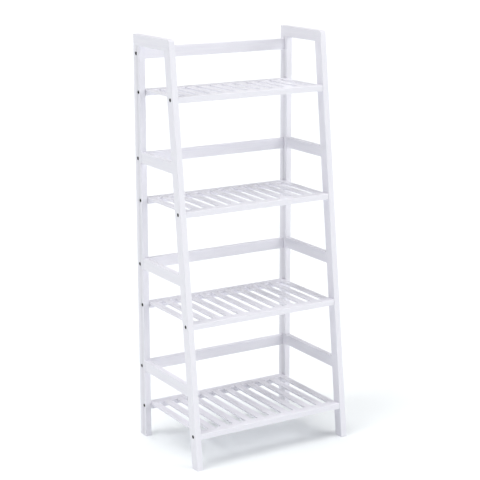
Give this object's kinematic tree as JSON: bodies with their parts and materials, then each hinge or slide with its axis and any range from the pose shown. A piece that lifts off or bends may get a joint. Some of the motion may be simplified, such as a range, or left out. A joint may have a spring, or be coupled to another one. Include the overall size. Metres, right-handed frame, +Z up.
{
  "type": "ladder shelf",
  "caption": "Free-standing ladder shelf in white painted wood: slatted shelves that get shallower upwards, bolted between two side frames with leaning front posts.",
  "frame": {"origin": "on the floor, midway across the shelf and midway between the front toes of the front posts and the rear faces of the rear posts", "axes": "+Z up, +X to the right when seen from the front, +Y towards the back (the upright posts); the front posts lean towards +Y as they rise"},
  "size_m": [0.515, 0.348, 1.2],
  "materials": {
    "white_painted_wood": "satin white paint over smooth pine",
    "black_steel": "black oxide, semi-matt",
    "zinc_plated_steel": "bright zinc plating"
  },
  "bodies": {
    "root": {"back_rail_1": "white_painted_wood", "back_rail_2": "white_painted_wood", "back_rail_3": "white_painted_wood", "back_rail_4": "white_painted_wood", "left_back_rail_bolt_1": "black_steel", "left_back_rail_bolt_2": "black_steel", "left_back_rail_bolt_3": "black_steel", "left_back_rail_bolt_4": "black_steel", "left_front_barrel_nut_1": "zinc_plated_steel", "left_front_barrel_nut_2": "zinc_plated_steel", "left_front_barrel_nut_3": "zinc_plated_steel", "left_front_barrel_nut_4": "zinc_plated_steel", "left_front_post": "white_painted_wood", "left_front_shelf_bolt_1": "black_steel", "left_front_shelf_bolt_2": "black_steel", "left_front_shelf_bolt_3": "black_steel", "left_front_shelf_bolt_4": "black_steel", "left_guard_rail_1": "white_painted_wood", "left_guard_rail_2": "white_painted_wood", "left_guard_rail_3": "white_painted_wood", "left_rear_barrel_nut_1": "zinc_plated_steel", "left_rear_barrel_nut_2": "zinc_plated_steel", "left_rear_barrel_nut_3": "zinc_plated_steel", "left_rear_barrel_nut_4": "zinc_plated_steel", "left_rear_post": "white_painted_wood", "left_rear_shelf_bolt_1": "black_steel", "left_rear_shelf_bolt_2": "black_steel", "left_rear_shelf_bolt_3": "black_steel", "left_rear_shelf_bolt_4": "black_steel", "left_top_rail": "white_painted_wood", "right_back_rail_bolt_1": "black_steel", "right_back_rail_bolt_2": "black_steel", "right_back_rail_bolt_3": "black_steel", "right_back_rail_bolt_4": "black_steel", "right_front_barrel_nut_1": "zinc_plated_steel", "right_front_barrel_nut_2": "zinc_plated_steel", "right_front_barrel_nut_3": "zinc_plated_steel", "right_front_barrel_nut_4": "zinc_plated_steel", "right_front_post": "white_painted_wood", "right_front_shelf_bolt_1": "black_steel", "right_front_shelf_bolt_2": "black_steel", "right_front_shelf_bolt_3": "black_steel", "right_front_shelf_bolt_4": "black_steel", "right_guard_rail_1": "white_painted_wood", "right_guard_rail_2": "white_painted_wood", "right_guard_rail_3": "white_painted_wood", "right_rear_barrel_nut_1": "zinc_plated_steel", "right_rear_barrel_nut_2": "zinc_plated_steel", "right_rear_barrel_nut_3": "zinc_plated_steel", "right_rear_barrel_nut_4": "zinc_plated_steel", "right_rear_post": "white_painted_wood", "right_rear_shelf_bolt_1": "black_steel", "right_rear_shelf_bolt_2": "black_steel", "right_rear_shelf_bolt_3": "black_steel", "right_rear_shelf_bolt_4": "black_steel", "right_top_rail": "white_painted_wood", "shelf_1": "white_painted_wood", "shelf_2": "white_painted_wood", "shelf_3": "white_painted_wood", "shelf_4": "white_painted_wood"}
  },
  "joints": []
}
